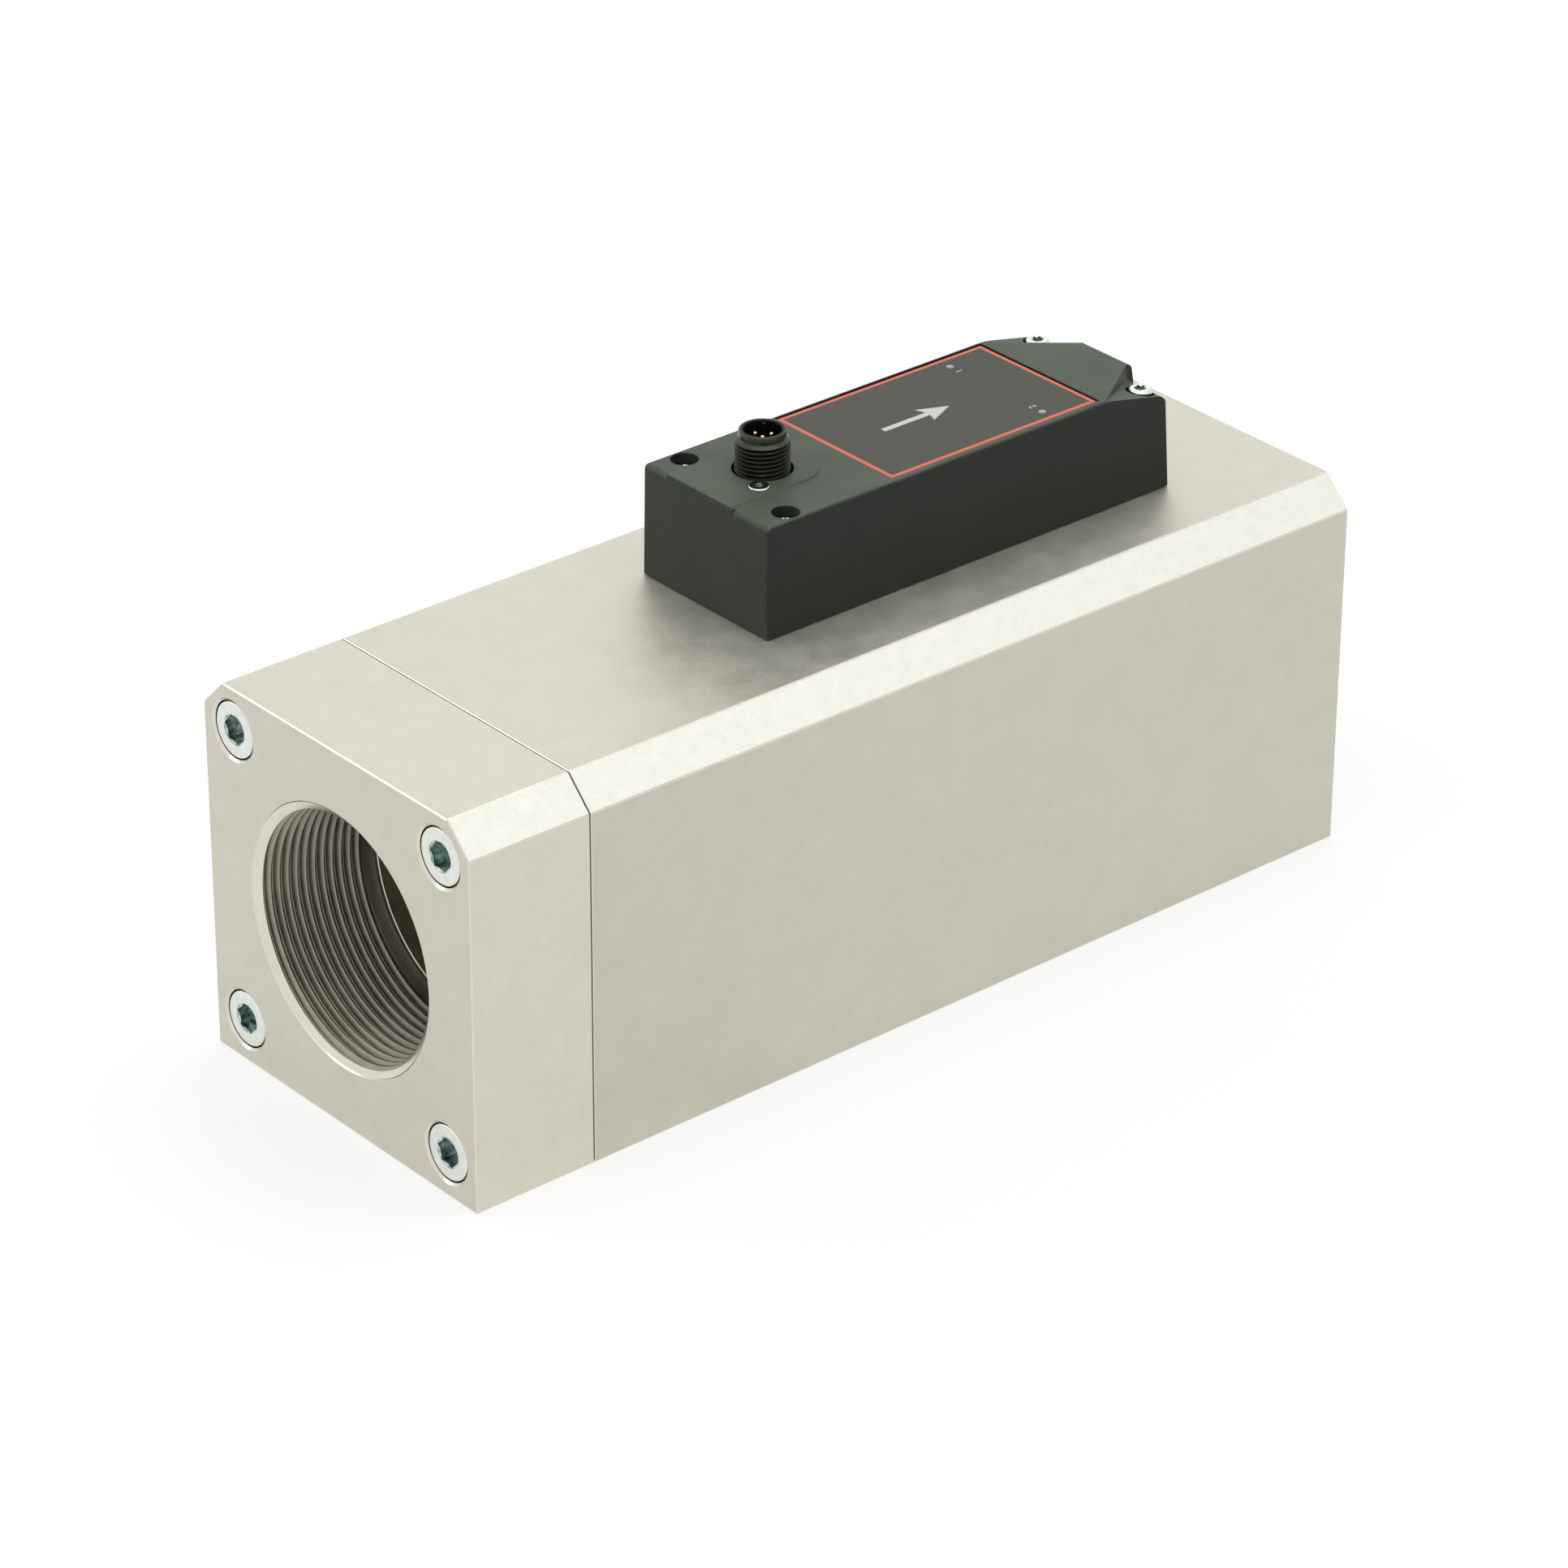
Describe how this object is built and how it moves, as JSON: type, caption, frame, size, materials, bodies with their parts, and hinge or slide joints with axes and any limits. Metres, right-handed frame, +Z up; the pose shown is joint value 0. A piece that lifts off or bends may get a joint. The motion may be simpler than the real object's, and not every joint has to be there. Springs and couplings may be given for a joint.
{
  "type": "flow meter",
  "caption": "In-line flow meter: an aluminium block with a threaded port at each end, a bolted inlet flange, and a black electronics cover with a label plate and a round cable connector.",
  "frame": {"origin": "middle of the rectangle that the part covers, at the height of its flat underside", "axes": "+X along the flow, from the threaded inlet in the flange to the outlet; +Z up, from the aluminium block to the electronics cover and its connector; +Y to the left when looking along the flow"},
  "size_m": [0.247, 0.09, 0.1259],
  "materials": {
    "flange_aluminium": "natural anodised, fine matt grain, bright edge breaks",
    "body_aluminium": "natural anodised, fine matt grain, bright edge breaks",
    "zinc_steel": "zinc plated, faintly green",
    "stainless": "plain stainless steel",
    "drawn_aluminium": "plain machined",
    "rubber": "black, matt",
    "cover_plastic": "fine eroded grain, slightly green grey black",
    "connector_black": "satin black",
    "insert_black": "matt black",
    "gold": "gold plated",
    "probe_plastic": "natural technical plastic",
    "board": "green board laminate",
    "brass": "turned brass",
    "label": "dark grey film with an orange red border",
    "lens": "translucent grey lens"
  },
  "bodies": {
    "root": {"inlet_flange": "flange_aluminium", "main_body": "body_aluminium", "flange_o_ring": "rubber", "retaining_ring": "stainless", "flow_straightener": "drawn_aluminium", "screen_disc": "stainless", "sensor_probe": "probe_plastic", "probe_o_ring": "rubber", "probe_screw_1": "stainless", "probe_screw_2": "stainless", "probe_header": "probe_plastic", "circuit_board": "board", "cover_gasket": "rubber", "electronics_cover": "cover_plastic", "label_plate": "label", "led_window_1": "lens", "led_window_2": "lens", "connector_shell": "connector_black", "connector_insert": "insert_black", "connector_screw": "zinc_steel", "connector_seal": "rubber", "flange_screw_1": "zinc_steel", "board_standoff_1": "brass", "board_screw_1": "stainless", "cover_screw_1": "zinc_steel", "flange_screw_2": "zinc_steel", "board_standoff_2": "brass", "board_screw_2": "stainless", "cover_screw_2": "zinc_steel", "flange_screw_3": "zinc_steel", "board_standoff_3": "brass", "board_screw_3": "stainless", "cover_screw_3": "zinc_steel", "flange_screw_4": "zinc_steel", "board_standoff_4": "brass", "board_screw_4": "stainless", "cover_screw_4": "zinc_steel", "connector_pin_1": "gold", "connector_pin_2": "gold", "connector_pin_3": "gold", "connector_pin_4": "gold", "connector_pin_5": "gold"}
  },
  "joints": []
}
